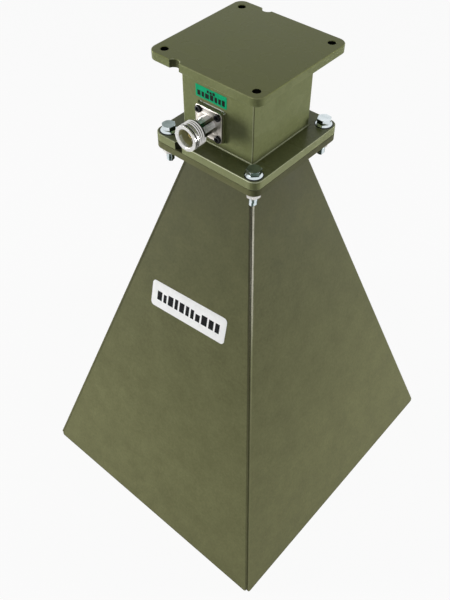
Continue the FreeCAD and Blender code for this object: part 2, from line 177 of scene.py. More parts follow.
paintLooks = {
    "adapterPaint": {
        "colour": (0.174, 0.191, 0.086), "deep": (0.156, 0.172, 0.075), "wornAndLit": (0.88, 0.93, 0.63),
        "roughness": 0.27, "peel": 0.20, "gloss": 0.20, "wallGloss": 0.04, "top": 1.0, "foot": 1.0,
        "wear": 1.0},
    "hornPaint": {
        "colour": (0.147, 0.149, 0.070), "deep": (0.122, 0.124, 0.056), "wornAndLit": (0.24, 0.24, 0.16),
        "roughness": 0.52, "peel": 0.50, "gloss": 0.06, "wallGloss": 0.06, "top": 0.62, "foot": 1.04,
        "wear": 0.25}}


# Olive enamel sprayed on metal: mottled, with an orange peel skin, rubbed pale on its upper edges where a
# painted highlight
#  is laid too, for the horn a painted shade darkening it towards the top, and less glossy on upright walls
#  than on level faces
def paint(name, extra):
    look = paintLooks[name]
    material, tree, shader, place = newMaterial(name)
    mottle = spread(tree, grainOf(tree, place, "mottle"), 0.32, 0.68)
    colour = blendColour(tree, mottle, rgb(*look["deep"]), rgb(*look["colour"]))
    speck = spread(tree, grainOf(tree, place, "speck"), 0.3, 0.7, 0.90, 1.10)
    height = splitXyz(tree, place)["Z"]
    # painted shade: the tone goes from the foot value low down to the top value high up; on the horn this
    # darkens it under the flange
    paintedShadeLevel = product(tree, spread(tree, height, *spanOf("fade"), look["foot"], look["top"]), speck)
    colour = tinted(tree, colour, paintedShadeLevel)
    wornAndLit = product(tree, rubbedAndLitEdges(tree, place), look["wear"])
    colour = blendColour(tree, wornAndLit, colour, rgb(*look["wornAndLit"]))
    tree.links.new(extra(tree, place, colour), shader.inputs["Base Color"])
    skin = spread(tree, grainOf(tree, place, "skin"), 0.3, 0.7,
                  look["roughness"] - 0.05, look["roughness"] + 0.05)
    tree.links.new(mathOf(tree, "SUBTRACT", skin, product(tree, wornAndLit, 0.12)), shader.inputs["Roughness"])
    peel = addBump(tree, grainOf(tree, place, "peel"), look["peel"], 0.05)
    waves = addBump(tree, grainOf(tree, place, "waves"), 0.25, 0.3, peel)
    tree.links.new(waves, shader.inputs["Normal"])
    lying = absolute(tree, faceNormal(tree)["Z"])
    gloss = spread(tree, lying, 0.3, 0.7, look["wallGloss"], look["gloss"])
    tree.links.new(gloss, shader.inputs["Specular IOR Level"])
    return material


def tinted(tree, colour, level):
    grey = addNode(tree, "ShaderNodeCombineColor", {"Red": level, "Green": level, "Blue": level}).outputs[0]
    return blendColour(tree, 1.0, colour, grey, "MULTIPLY")


def layMark(tree, colour, where, mark):  # a mark is how strongly it covers the paint, and its colour
    strength, shade = mark
    return blendColour(tree, product(tree, where, strength), colour, rgb(*shade))


def band(tree, value, low, high, soft):  # 1 between low and high
    rise = spread(tree, value, low - soft, low + soft)
    fall = spread(tree, value, high - soft, high + soft)
    return mathOf(tree, "SUBTRACT", rise, fall, clamp=True)


def farFrom(tree, first, second):  # the length of two legs at right angles
    return mathOf(tree, "SQRT", mathOf(tree, "ADD", product(tree, first, first),
                                       product(tree, second, second)))


# Low and high ends of four spans in millimetres: left of the notches, the adapter flange's foot, how far out
# its front right
#  corner is, and the height over which the paint's tone changes, which on the horn is a painted shade
#  darkening it towards the top
spans = {"leftPart": (-25.0, -16.0), "flangeFoot": (308.4, 309.2), "corner": (58.0, 70.0),
         "fade": (60.0, 310.0)}
# How far a face's normal leans up or to one side, by the kind of face
leans = {"upright": 0.1, "facing": 0.7, "brokenLow": 0.40, "brokenHigh": 0.92}


def spanOf(name):
    low, high = spans[name]
    return low * mm, high * mm


# The broken edges that look up, partly rubbed paint and partly painted highlight: brightest where they face
# the front, towards
#  the left lamp, faint elsewhere and left of the notches. The adapter flange's lower edge is pale too, partly
#  rubbed and partly painted highlight, most at its front right corner.
def rubbedAndLitEdges(tree, place):
    facing = faceNormal(tree)
    across, along, height = splitXyz(tree, place)
    upper = band(tree, facing["Z"], leans["brokenLow"], leans["brokenHigh"], 0.02)
    # painted highlight: edges are brightest where they face the front, towards the left lamp
    side = spread(tree, facing["Y"], -0.45, 0.1, 1.0, 0.24)
    side = product(tree, side, spread(tree, across, *spanOf("leftPart"), 0.35, 1.0))
    edge = spread(tree, edgeMask(tree, 0.3), 0.015, 0.08, 0.0, 0.20)
    patchy = spread(tree, grainOf(tree, place, "patches"), 0.34, 0.54, 0.65, 1.0)
    fine = spread(tree, grainOf(tree, place, "scuffs"), 0.3, 0.55, 0.8, 1.0)
    under = band(tree, facing["Z"], -leans["brokenHigh"], -leans["brokenLow"], 0.02)
    corner = spread(tree, mathOf(tree, "SUBTRACT", across, along), *spanOf("corner"), 0.22, 0.75)
    under = product(tree, under, corner, band(tree, height, *spanOf("flangeFoot"), 0.1 * mm))
    rubbed = mathOf(tree, "MAXIMUM", product(tree, upper, side), mathOf(tree, "MAXIMUM", edge, under))
    return product(tree, rubbed, patchy, fine)


# Places on the adapter in millimetres. A notch is its centre's Y, its radius and how strongly painted shade
# darkens it.
adapterPlaces = {
    "holeAt": 33.0, "hole": 2.42, "plateLow": 361.0, "boltAt": 33.45, "ring": 5.55, "ringSoft": 0.5,
    "deckLow": 313.7, "deckHigh": 314.3, "notchX": -19.2, "notchSpare": 0.15,
    "plateNotch": (-40.8, 3.6, 0.55), "flangeNotch": (-40.25, 2.8, 0.85),
    "tubeCornerAt": 26.85, "tubeCornerHalf": 0.9, "rimFrom": 40.0}
adapterTints = {
    "holeAndRingShade": (1.0, (0.006, 0.006, 0.005)), "notch": (1.0, (0.010, 0.009, 0.006)),
    "plateTopShade": (0.8, (0.147, 0.163, 0.026)), "flangeRim": (0.14, (0.50, 0.52, 0.32)),
    "cornerHighlight": (0.55, (0.50, 0.52, 0.34)), "cornerShade": (0.35, (0.035, 0.030, 0.018))}


# Painted shade in the end plate's holes, round the bolt heads and in the notches, the plate's top painted
# darker and greener as
#  painted shade, the flange's paler rim, and a painted highlight beside a painted shade down the tube's
#  rounded corners
def adapterMarks(tree, place, colour):
    at, tints = adapterPlaces, adapterTints
    spot, facing = splitXyz(tree, place), faceNormal(tree)
    wide, deep = absolute(tree, spot["X"]), absolute(tree, spot["Y"])
    onPlate = mathOf(tree, "GREATER_THAN", spot["Z"], at["plateLow"] * mm)
    onSide = mathOf(tree, "LESS_THAN", absolute(tree, facing["Z"]), leans["upright"])

    def fromCorner(centre):  # how far a point is from the hole or bolt in its own quarter
        return farFrom(tree, mathOf(tree, "SUBTRACT", wide, centre * mm),
                       mathOf(tree, "SUBTRACT", deep, centre * mm))

    # painted shade: the plate's hole walls and a ring round each bolt head on the deck are painted nearly
    # black
    hole = mathOf(tree, "LESS_THAN", fromCorner(at["holeAt"]), at["hole"] * mm)
    ring = spread(tree, fromCorner(at["boltAt"]), at["ring"] * mm, (at["ring"] + at["ringSoft"]) * mm,
                  1.0, 0.0)
    onDeck = band(tree, spot["Z"], at["deckLow"] * mm, at["deckHigh"] * mm, 0.1 * mm)
    holeAndRingShade = mathOf(tree, "MAXIMUM", product(tree, hole, onPlate), product(tree, ring, onDeck))
    colour = layMark(tree, colour, holeAndRingShade, tints["holeAndRingShade"])
    # painted shade inside the notches in the plate and the flange
    bothSides = product(tree, deep, -1.0)
    for (centre, radius, shade), here, along in (
            (at["plateNotch"], onPlate, bothSides),
            (at["flangeNotch"], mathOf(tree, "SUBTRACT", 1.0, onPlate), spot["Y"])):
        reach = farFrom(tree, mathOf(tree, "SUBTRACT", spot["X"], at["notchX"] * mm),
                        mathOf(tree, "SUBTRACT", along, centre * mm))
        inside = mathOf(tree, "LESS_THAN", reach, (radius + at["notchSpare"]) * mm)
        colour = layMark(tree, colour, product(tree, inside, onSide, here, shade), tints["notch"])
    # painted shade: the plate's level top is painted darker and less blue, for the weaker light from above
    # and the sheen on it
    plateTopShade = product(tree, mathOf(tree, "GREATER_THAN", facing["Z"], leans["facing"]), onPlate)
    colour = layMark(tree, colour, plateTopShade, tints["plateTopShade"])
    underDeck = mathOf(tree, "LESS_THAN", spot["Z"], at["deckLow"] * mm)
    outside = mathOf(tree, "GREATER_THAN", mathOf(tree, "MAXIMUM", wide, deep), at["rimFrom"] * mm)
    colour = layMark(tree, colour, product(tree, onSide, underDeck, outside), tints["flangeRim"])
    # painted highlight and painted shade on the tube's rounded corners: lighter where the corner turns to
    # front or back, darker where it turns to the side
    fromTubeCorner = absolute(tree, mathOf(tree, "SUBTRACT", wide, at["tubeCornerAt"] * mm))
    onTube = product(tree, onSide, mathOf(tree, "LESS_THAN", fromTubeCorner, at["tubeCornerHalf"] * mm))
    turned = absolute(tree, facing["X"])
    light = product(tree, band(tree, turned, 0.08, 0.50, 0.05), onTube)
    dark = product(tree, band(tree, turned, 0.55, 0.97, 0.03), onTube)
    colour = layMark(tree, colour, light, tints["cornerHighlight"])
    return layMark(tree, colour, dark, tints["cornerShade"])


# Half widths of the horn's corners at the rim and how fast they close in towards the throat, then
# the widths and heights of the marks on them, all in millimetres
hornSeam = {"frontEnd": 108.9, "frontSlope": 0.2835, "sideEnd": 120.28, "sideSlope": 0.3204,
            "groove": 1.1, "grooveSoft": 0.25, "strip": 1.8, "stripSoft": 0.3, "waver": 0.8,
            "bareFrom": 215.0, "bareSoft": 25, "fadedBelow": 120.0, "deepenFrom": 100.0, "deepenTo": 250.0,
            "topFrom": 265.0, "topTo": 300.0, "rimLine": 0.8, "flangeFrom": 303.6}
hornTints = {
    "groove": (1.0, (0.030, 0.029, 0.013)), "flangeFrontLight": (0.08, (0.50, 0.52, 0.22)),
    "flangeSideShade": (0.18, (0.030, 0.028, 0.014)), "sideTopShade": (0.26, (0.030, 0.028, 0.008)),
    "rim": (0.45, (0.045, 0.042, 0.018)),
    "stripPainted": (0.23, 0.235, 0.125), "stripBareAndSheen": (0.58, 0.56, 0.46)}


# Down each corner of the horn: a dark groove at the end of the front wall, partly dirt in the joint and
# partly painted shade in the step,
#  and a strip on the side wall that is partly rubbed to metal and partly painted highlight. The flange's
#  faces carry painted light and shade, the tops of the side walls a painted shadow under the flange, and the
#  rim is darkened.
def hornMarks(tree, place, colour):
    at, tints = hornSeam, hornTints
    spot, facing = splitXyz(tree, place), faceNormal(tree)
    height = spot["Z"]
    ahead = mathOf(tree, "GREATER_THAN", absolute(tree, facing["Y"]), leans["facing"])
    aside = mathOf(tree, "GREATER_THAN", absolute(tree, facing["X"]), leans["facing"])
    onWalls = mathOf(tree, "LESS_THAN", height, at["flangeFrom"] * mm)
    onFlange = mathOf(tree, "SUBTRACT", 1.0, onWalls)
    diagonal = mathOf(tree, "LESS_THAN", product(tree, spot["X"], spot["Y"]), 0.0)
    uneven = product(tree, mathOf(tree, "SUBTRACT", grainOf(tree, place, "waver"), 0.5), at["waver"] * mm)

    def besideEnd(across, end, slope, width, soft):  # 1 within a width of a wall's leaning end
        edge = mathOf(tree, "SUBTRACT", end * mm, product(tree, height, slope))
        past = mathOf(tree, "ADD", mathOf(tree, "SUBTRACT", absolute(tree, across), edge), uneven)
        return spread(tree, past, -(width + soft) * mm, -(width - soft) * mm)

    # dark groove: partly dirt in the joint, partly painted shade in the step, made darker higher up and on
    # two opposite corners
    groove = besideEnd(spot["X"], at["frontEnd"], at["frontSlope"], at["groove"], at["grooveSoft"])
    groove = product(tree, groove, ahead, onWalls, spread(tree, diagonal, 0.0, 1.0, 0.35, 1.0))
    # the strip is partly paint rubbed to metal and partly a painted highlight, pale high up and faint low
    # down
    strip = besideEnd(spot["Y"], at["sideEnd"], at["sideSlope"], at["strip"], at["stripSoft"])
    strip = product(tree, strip, aside, product(tree, onWalls, diagonal))
    bareAndSheen = spread(tree, height, (at["bareFrom"] - at["bareSoft"]) * mm,
                  (at["bareFrom"] + at["bareSoft"]) * mm)
    kept = spread(tree, height, at["fadedBelow"] * mm, at["bareFrom"] * mm, 0.10, 0.9)
    broken = spread(tree, grainOf(tree, place, "flakes"), 0.35, 0.55, 0.55, 1.0)
    stripColour = blendColour(tree, bareAndSheen, rgb(*tints["stripPainted"]), rgb(*tints["stripBareAndSheen"]))
    colour = blendColour(tree, product(tree, strip, kept, broken), colour, stripColour)
    deeper = spread(tree, height, at["deepenFrom"] * mm, at["deepenTo"] * mm, 0.50, 0.86)
    colour = layMark(tree, colour, product(tree, groove, deeper), tints["groove"])
    # painted light: the horn flange's front and back faces lightened, its sides darkened
    colour = layMark(tree, colour, product(tree, ahead, onFlange), tints["flangeFrontLight"])
    colour = layMark(tree, colour, product(tree, aside, onFlange), tints["flangeSideShade"])
    # painted shadow under the flange on the tops of the side walls
    nearTop = spread(tree, height, at["topFrom"] * mm, at["topTo"] * mm)
    colour = layMark(tree, colour, product(tree, nearTop, aside, onWalls), tints["sideTopShade"])
    return layMark(tree, colour, mathOf(tree, "LESS_THAN", height, at["rimLine"] * mm), tints["rim"])


metalLooks = {
    "zinc": {"first": (0.58, 0.66, 0.68), "second": (0.76, 0.82, 0.85), "low": 0.10, "high": 0.20,
             "grain": 210},
    # the next two finishes are painted reflections, dull and dark, for chosen bolt faces
    "zincDullReflection": {"first": (0.20, 0.25, 0.24), "second": (0.30, 0.36, 0.36), "low": 0.28, "high": 0.38,
                 "grain": 180},
    "zincDarkReflection": {"first": (0.05, 0.08, 0.065), "second": (0.12, 0.17, 0.15), "low": 0.16, "high": 0.26,
                "grain": 240},
    "zincWarm": {"first": (0.62, 0.60, 0.56), "second": (0.76, 0.74, 0.70), "low": 0.20, "high": 0.30,
                 "grain": 210, "metallic": 0.6},
    "nickel": {"first": (0.64, 0.63, 0.60), "second": (0.76, 0.75, 0.73), "low": 0.12, "high": 0.18,
               "grain": 320, "lines": 0.04, "metallic": 0.72, "marks": (1, 0.15, 1)},
    "satinNickel": {"first": (0.44, 0.41, 0.37), "second": (0.56, 0.52, 0.48), "low": 0.30, "high": 0.40,
                    "grain": 200, "lines": 0.04},
    # the barrel's two finishes are painted reflections: dark and bright bands laid round it
    "barrelDarkReflection": {"first": (0.07, 0.075, 0.05), "second": (0.12, 0.125, 0.09), "low": 0.20, "high": 0.28,
                    "grain": 240, "lines": 0.04, "marks": (1, 0.15, 1)},
    "barrelBrightReflection": {"first": (0.84, 0.88, 0.90), "second": (0.93, 0.95, 0.97), "low": 0.22, "high": 0.30,
                     "grain": 240, "lines": 0.04, "metallic": 0.25, "marks": (1, 0.15, 1)},
    "threadShade": {"first": (0.05, 0.055, 0.05), "second": (0.11, 0.115, 0.10), "low": 0.35, "high": 0.5,
                    "grain": 800},
    "gilt": {"first": (0.50, 0.41, 0.17), "second": (0.66, 0.53, 0.23), "low": 0.30, "high": 0.40,
             "grain": 200, "lines": 0.02, "marks": (1, 0.2, 1)},
    "brass": {"first": (0.66, 0.48, 0.20), "second": (0.78, 0.60, 0.29), "low": 0.24, "high": 0.38,
              "grain": 300, "marks": (1, 0.2, 1)}}


# Plated or bare turned metal, faintly clouded, with fine tool marks
def metal(name):
    look = metalLooks[name]
    marks = look.get("marks", (1, 1, 1))
    material, tree, shader, place = newMaterial(name)
    cloud = spread(tree, noiseOf(tree, place, look["grain"], 3, 0.6), 0.3, 0.7)
    cloudy = blendColour(tree, cloud, rgb(*look["first"]), rgb(*look["second"]))
    tree.links.new(cloudy, shader.inputs["Base Color"])
    smear = spread(tree, noiseOf(tree, place, 900, 3, 0.6, marks), 0.3, 0.7, look["low"], look["high"])
    tree.links.new(smear, shader.inputs["Roughness"])
    lines = addBump(tree, noiseOf(tree, place, 2200, 2, 0.5, marks), look.get("lines", 0.10), 0.012)
    tree.links.new(lines, shader.inputs["Normal"])
    shader.inputs["Metallic"].default_value = look.get("metallic", 1.0)
    return material


plainLooks = {
    # the bore: a painted olive reflection of the parts in front of it
    "boreOliveReflection": {"first": (0.40, 0.40, 0.23), "second": (0.50, 0.49, 0.30), "scale": 120,
                  "low": 0.30, "high": 0.36, "bump": 0.0, "gloss": 0.3},
    "blackOxide": {"first": (0.004, 0.004, 0.004), "second": (0.010, 0.010, 0.011), "scale": 700,
                   "low": 0.22, "high": 0.34, "bump": 0.12, "gloss": 0.25},
    "whitePlastic": {"first": (0.74, 0.73, 0.69), "second": (0.82, 0.81, 0.78), "scale": 400,
                     "low": 0.34, "high": 0.42, "bump": 0.05, "gloss": 0.4},
    "greenTape": {"first": (0.0, 0.300, 0.125), "second": (0.0, 0.360, 0.155), "scale": 260,
                  "low": 0.30, "high": 0.42, "bump": 0.15, "gloss": 0.06},
    "whiteSticker": {"first": (0.80, 0.80, 0.79), "second": (0.86, 0.86, 0.85), "scale": 300,
                     "low": 0.30, "high": 0.42, "bump": 0.20, "gloss": 0.25},
    # the pad seam's pale colour is partly rubbed paint and partly painted highlight
    "rubbedAndLitPaint": {"first": (0.84, 0.86, 0.74), "second": (0.94, 0.95, 0.88), "scale": 900,
                    "low": 0.30, "high": 0.45, "bump": 0.20, "gloss": 0.3},
    "labelInk": {"first": (0.003, 0.003, 0.003), "second": (0.008, 0.008, 0.009), "scale": 900,
                 "low": 0.40, "high": 0.55, "bump": 0.10, "gloss": 0.06}}


# Plastics, paper, ink, the bore's painted olive reflection, the bright seam (rubbed paint with a painted
# highlight) and the blacked screws
def plain(name):
    look = plainLooks[name]
    material, tree, shader, place = newMaterial(name)
    cloud = spread(tree, noiseOf(tree, place, look["scale"], 4, 0.6), 0.3, 0.7)
    cloudy = blendColour(tree, cloud, rgb(*look["first"]), rgb(*look["second"]))
    tree.links.new(cloudy, shader.inputs["Base Color"])
    smear = spread(tree, noiseOf(tree, place, look["scale"] / 3, 2), 0.3, 0.7, look["low"], look["high"])
    tree.links.new(smear, shader.inputs["Roughness"])
    grain = addBump(tree, noiseOf(tree, place, look["scale"] * 3, 3), look["bump"], 0.03)
    tree.links.new(grain, shader.inputs["Normal"])
    shader.inputs["Specular IOR Level"].default_value = look["gloss"]
    return material


materials = {
    "adapterPaint": paint("adapterPaint", adapterMarks), "hornPaint": paint("hornPaint", hornMarks)}
materials.update({name: metal(name) for name in metalLooks})
materials.update({name: plain(name) for name in plainLooks})
print("materials made:", len(materials))


# Mesh helpers, in millimetres
def ringBody(rings, steps, closed=False):  # each ring is (radius, height), numbers or functions of the turn
    body = bmesh.new()
    rows = []
    for radius, height in rings:
        row = []
        for step in range(steps):
            turn = 2 * math.pi * step / steps
            reach = radius(turn) if callable(radius) else radius
            rise = height(turn) if callable(height) else height
            row.append(body.verts.new((reach * math.cos(turn), reach * math.sin(turn), rise)))
        rows.append(row)
    for lower, upper in zip(rows, rows[1:] + rows[:1] if closed else rows[1:]):
        for step in range(steps):
            after = (step + 1) % steps
            body.faces.new((lower[step], lower[after], upper[after], upper[step]))
    if not closed:
        body.faces.new(rows[0][::-1])
        body.faces.new(rows[-1])
    bmesh.ops.recalc_face_normals(body, faces=body.faces)
    return body


def softCorners(outline, radius, steps=3):  # rounds the corners of a closed outline of (radius, height)
    soft = []
    for index, corner in enumerate(outline):
        here = Vector(corner)
        before = Vector(outline[index - 1]) - here
        after = Vector(outline[(index + 1) % len(outline)]) - here
        reach = min(radius, before.length * 0.45, after.length * 0.45)
        start, end = here + before.normalized() * reach, here + after.normalized() * reach
        for step in range(steps + 1):
            part = step / steps
            soft.append(tuple(start * (1 - part) ** 2 + here * 2 * part * (1 - part) + end * part ** 2))
    return soft


def toMesh(name, body, matrix=None):
    mesh = bpy.data.meshes.new(name)
    body.to_mesh(mesh)
    body.free()
    return finishMesh(mesh, matrix)


def finishMesh(mesh, matrix=None, sharp=32):
    if matrix:
        mesh.transform(matrix)
    mesh.polygons.foreach_set("use_smooth", [True] * len(mesh.polygons))
    mesh.set_sharp_from_angle(angle=math.radians(sharp))
    return mesh


def pathMesh(name, runs):  # edges along runs of points
    mesh = bpy.data.meshes.new(name)
    edges, start = [], 0
    for run in runs:
        edges += [(start + step, start + step + 1) for step in range(len(run) - 1)]
        start += len(run)
    mesh.from_pydata([spot for run in runs for spot in run], edges, [])
    return mesh


def joinMeshes(name, meshes):
    body = bmesh.new()
    for mesh in meshes:
        body.from_mesh(mesh)
    joined = bpy.data.meshes.new(name)
    body.to_mesh(joined)
    body.free()
    return finishMesh(joined)


def flatPlate(name, width, height, corner, thick, edge, holes=()):  # holes are (x, y, diameter)
    outline = bpy.data.curves.new(name, "CURVE")
    outline.dimensions = "2D"
    outline.fill_mode = "BOTH"
    outline.extrude = thick / 2 - edge
    outline.bevel_depth = edge
    outline.bevel_resolution = 2
    outline.offset = -edge
    addOval(outline, 0, 0, width, height, corner)
    for across, up, diameter in holes:
        addOval(outline, across, up, diameter, diameter, diameter / 2)
    holder = bpy.data.objects.new(name, outline)
    mesh = bpy.data.meshes.new_from_object(holder)
    bpy.data.objects.remove(holder)
    body = bmesh.new()
    body.from_mesh(mesh)
    bmesh.ops.remove_doubles(body, verts=body.verts, dist=1e-5)
    bmesh.ops.recalc_face_normals(body, faces=body.faces)
    return toMesh(name, body)


def addOval(outline, across, up, width, height, corner, steps=10):  # a rectangle with round corners
    spots = []
    for quarter, (right, top) in enumerate(((1, 1), (-1, 1), (-1, -1), (1, -1))):
        centre = (across + right * (width / 2 - corner), up + top * (height / 2 - corner))
        for step in range(steps + 1):
            turn = math.pi / 2 * (quarter + step / steps)
            spots.append((centre[0] + corner * math.cos(turn), centre[1] + corner * math.sin(turn)))
    spline = outline.splines.new("POLY")
    spline.points.add(len(spots) - 1)
    for point, spot in zip(spline.points, spots):
        point.co = (spot[0], spot[1], 0, 1)
    spline.use_cyclic_u = True


def hexagon(flats):  # the reach of a hexagon at each turn
    return lambda turn: flats / 2 / math.cos((turn + math.pi / 6) % (math.pi / 3) - math.pi / 6)


def hexBevel(flats, top, way=1):  # the height where a 30 degree cone cuts the hexagon's sides
    reach = hexagon(flats)
    return lambda turn: top - way * (reach(turn) - flats / 2) * math.tan(math.radians(30))


def keepPiece(name, mesh, material, replaced=(), others=()):
    if mesh.materials:
        mesh.materials.clear()  # sets every face to the first slot, so marked meshes come without slots
    for finish in (material, *others):
        mesh.materials.append(materials[finish])
    piece = addObject(name, mesh)
    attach(piece, "root")
    if replaced:
        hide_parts(*replaced)
    return piece


# Geometry Nodes helpers
def newGrowth(name, floats, whole=()):  # a tree with named inputs, its group input and its group output
    tree = bpy.data.node_groups.new(name, "GeometryNodeTree")
    sockets = {"Geometry": "Geometry", "Material": "Material"}
    sockets.update(dict.fromkeys(floats, "Float"))
    sockets.update(dict.fromkeys(whole, "Int"))
    for label, kind in sockets.items():
        tree.interface.new_socket(name=label, in_out="INPUT", socket_type="NodeSocket" + kind)
    tree.interface.new_socket(name="Geometry", in_out="OUTPUT", socket_type="NodeSocketGeometry")
    return tree, tree.nodes.new("NodeGroupInput"), tree.nodes.new("NodeGroupOutput")


def closeGrowth(tree, given, leaving, geometry):
    whole = addNode(tree, "GeometryNodeRealizeInstances", {"Geometry": geometry})
    finish = given.outputs["Material"]
    coated = addNode(tree, "GeometryNodeSetMaterial", {"Geometry": whole, "Material": finish})
    tree.links.new(coated.outputs[0], leaving.inputs[0])
    return tree


def grow(name, tree, values, source=None):  # bakes a tree to a plain mesh
    holder = addObject(name, source or bpy.data.meshes.new(name))
    modifier = holder.modifiers.new(name, "NODES")
    modifier.node_group = tree
    for item in tree.interface.items_tree:
        if item.in_out == "INPUT" and item.name in values:
            modifier[item.identifier] = values[item.name]
    seen = holder.evaluated_get(bpy.context.evaluated_depsgraph_get())
    mesh = bpy.data.meshes.new_from_object(seen)
    holder.modifiers.remove(modifier)
    bpy.data.objects.remove(holder)
    return mesh


def threadTree():  # a ridge wound round a core, fading out at both ends
    tree, given, leaving = newGrowth(
        "threadRidge", ("Root Radius", "Pitch", "Turns", "Depth", "Width"), ("Steps",))
    size = given.outputs
    coil = addNode(tree, "GeometryNodeCurveSpiral", {
        "Resolution": size["Steps"], "Rotations": size["Turns"], "Start Radius": size["Root Radius"],
        "End Radius": size["Root Radius"], "Height": product(tree, size["Pitch"], size["Turns"])})
    level = addNode(tree, "GeometryNodeSetCurveNormal", {"Curve": coil})
    level.mode = "Z_UP"
    along = addNode(tree, "GeometryNodeSplineParameter").outputs["Factor"]
    ends = mathOf(tree, "MINIMUM", along, mathOf(tree, "SUBTRACT", 1.0, along))
    fade = spread(tree, ends, 0.0, 0.06, 0.15, 1.0)
    paintedShadeLevel = addNode(tree, "GeometryNodeSetCurveRadius", {"Curve": level, "Radius": fade})
    ridge = addNode(tree, "GeometryNodeCurvePrimitiveCircle", {"Resolution": 4, "Radius": 1.0})
    shape = addNode(tree, "ShaderNodeCombineXYZ", {"X": size["Depth"], "Y": size["Width"], "Z": 1.0})
    profile = addNode(tree, "GeometryNodeTransform", {"Geometry": ridge, "Scale": shape})
    swept = addNode(tree, "GeometryNodeCurveToMesh", {
        "Curve": paintedShadeLevel, "Profile Curve": profile, "Fill Caps": True})
    return closeGrowth(tree, given, leaving, swept)


def knurlTree():  # straight ribs stood round a circle
    tree, given, leaving = newGrowth("knurlRibs", ("Radius", "Height", "Rib Size"), ("Ribs",))
    size = given.outputs
    circle = addNode(tree, "GeometryNodeMeshCircle", {"Vertices": size["Ribs"], "Radius": size["Radius"]})
    rib = addNode(tree, "GeometryNodeMeshCylinder", {
        "Vertices": 4, "Radius": size["Rib Size"], "Depth": size["Height"]})
    spot = addNode(tree, "GeometryNodeInputPosition")
    facing = addNode(tree, "FunctionNodeAlignRotationToVector", {"Vector": spot}, axis="X")
    stood = addNode(tree, "GeometryNodeInstanceOnPoints", {
        "Points": circle, "Instance": rib, "Rotation": facing})
    return closeGrowth(tree, given, leaving, stood)


def beadTree():  # a run of solder along a path, rippled and a little uneven
    tree, given, leaving = newGrowth(
        "beadRun", ("Radius", "Ripple", "Ripple Length", "Unevenness", "Step", "Seed"))
    size = given.outputs
    path = addNode(tree, "GeometryNodeMeshToCurve", {"Mesh": size["Geometry"]})
    fine = addNode(tree, "GeometryNodeResampleCurve", {"Curve": path, "Length": size["Step"]}, mode="LENGTH")
    spot = addNode(tree, "GeometryNodeInputPosition")
    lumps = addNode(tree, "ShaderNodeTexNoise", {
        "Vector": spot, "W": size["Seed"], "Scale": 0.35, "Detail": 2.0}, noise_dimensions="4D")
    along = addNode(tree, "GeometryNodeSplineParameter").outputs["Length"]
    turns = product(tree, mathOf(tree, "DIVIDE", along, size["Ripple Length"]), 2 * math.pi)
    ripple = product(tree, mathOf(tree, "SINE", turns), size["Ripple"])
    lump = product(tree, mathOf(tree, "SUBTRACT", lumps.outputs["Fac"], 0.5), size["Unevenness"])
    thick = mathOf(tree, "ADD", mathOf(tree, "ADD", ripple, lump), 1.0)
    shaped = addNode(tree, "GeometryNodeSetCurveRadius", {"Curve": fine, "Radius": thick})
    ring = addNode(tree, "GeometryNodeCurvePrimitiveCircle", {"Resolution": 8, "Radius": size["Radius"]})
    swept = addNode(tree, "GeometryNodeCurveToMesh", {
        "Curve": shaped, "Profile Curve": ring, "Fill Caps": True})
    return closeGrowth(tree, given, leaving, swept)


def barTree():  # a row of printed bars of uneven width, centred on its middle
    tree, given, leaving = newGrowth(
        "barRow", ("Narrow", "Wide", "Gap", "Low", "Tall", "Thickness"), ("Bars", "Seed"))
    size = given.outputs
    line = addNode(tree, "GeometryNodeMeshLine", {"Count": size["Bars"]})
    width = addNode(tree, "FunctionNodeRandomValue", {"Seed": size["Seed"]})
    feed(tree, width.inputs[2], size["Narrow"])
    feed(tree, width.inputs[3], size["Wide"])
    tall = addNode(tree, "FunctionNodeRandomValue", {"Seed": mathOf(tree, "ADD", size["Seed"], 7.0)})
    feed(tree, tall.inputs[2], size["Low"])
    feed(tree, tall.inputs[3], size["Tall"])
    pace = mathOf(tree, "ADD", width.outputs[1], size["Gap"])
    summed = addNode(tree, "GeometryNodeAccumulateField", {0: pace})
    start = mathOf(tree, "ADD", summed.outputs["Trailing"], product(tree, pace, 0.5))
    middle = mathOf(tree, "SUBTRACT", start, product(tree, summed.outputs["Total"], 0.5))
    drop = product(tree, mathOf(tree, "SUBTRACT", tall.outputs[1], size["Tall"]), 0.5)
    spot = addNode(tree, "ShaderNodeCombineXYZ", {"X": middle, "Y": drop})
    placed = addNode(tree, "GeometryNodeSetPosition", {"Geometry": line, "Position": spot})
    block = addNode(tree, "GeometryNodeMeshCube")
    shape = addNode(tree, "ShaderNodeCombineXYZ", {
        "X": width.outputs[1], "Y": tall.outputs[1], "Z": size["Thickness"]})
    barred = addNode(tree, "GeometryNodeInstanceOnPoints", {
        "Points": placed, "Instance": block, "Scale": shape})
    return closeGrowth(tree, given, leaving, barred)


threadGrowth, knurlGrowth, beadGrowth, barGrowth = threadTree(), knurlTree(), beadTree(), barTree()
print("node trees made")


# Pieces are built in millimetres at the origin, and these stand them in the frame
toMetres = Matrix.Scale(mm, 4)
outOfWall = Matrix.Rotation(math.radians(90), 4, "X")


def middleOf(low, high):
    return Vector(((low.x + high.x) / 2, (low.y + high.y) / 2, (low.z + high.z) / 2))


def turnedTo(turn):
    return Matrix.Rotation(math.radians(turn), 4, "Z")


def growBead(name, path, sizes, finish):
    seam = grow(name, beadGrowth, {
        "Radius": sizes["radius"], "Ripple": sizes["ripple"], "Ripple Length": sizes["rippleLength"],
        "Unevenness": sizes["unevenness"], "Step": sizes["step"], "Seed": sizes["seed"],
        "Material": materials[finish]}, path)
    return finishMesh(seam, toMetres)


def turnOf(face):  # degrees round the Z axis
    return math.degrees(math.atan2(face.center.y, face.center.x))


def reachOf(face):
    return math.hypot(face.center.x, face.center.y)


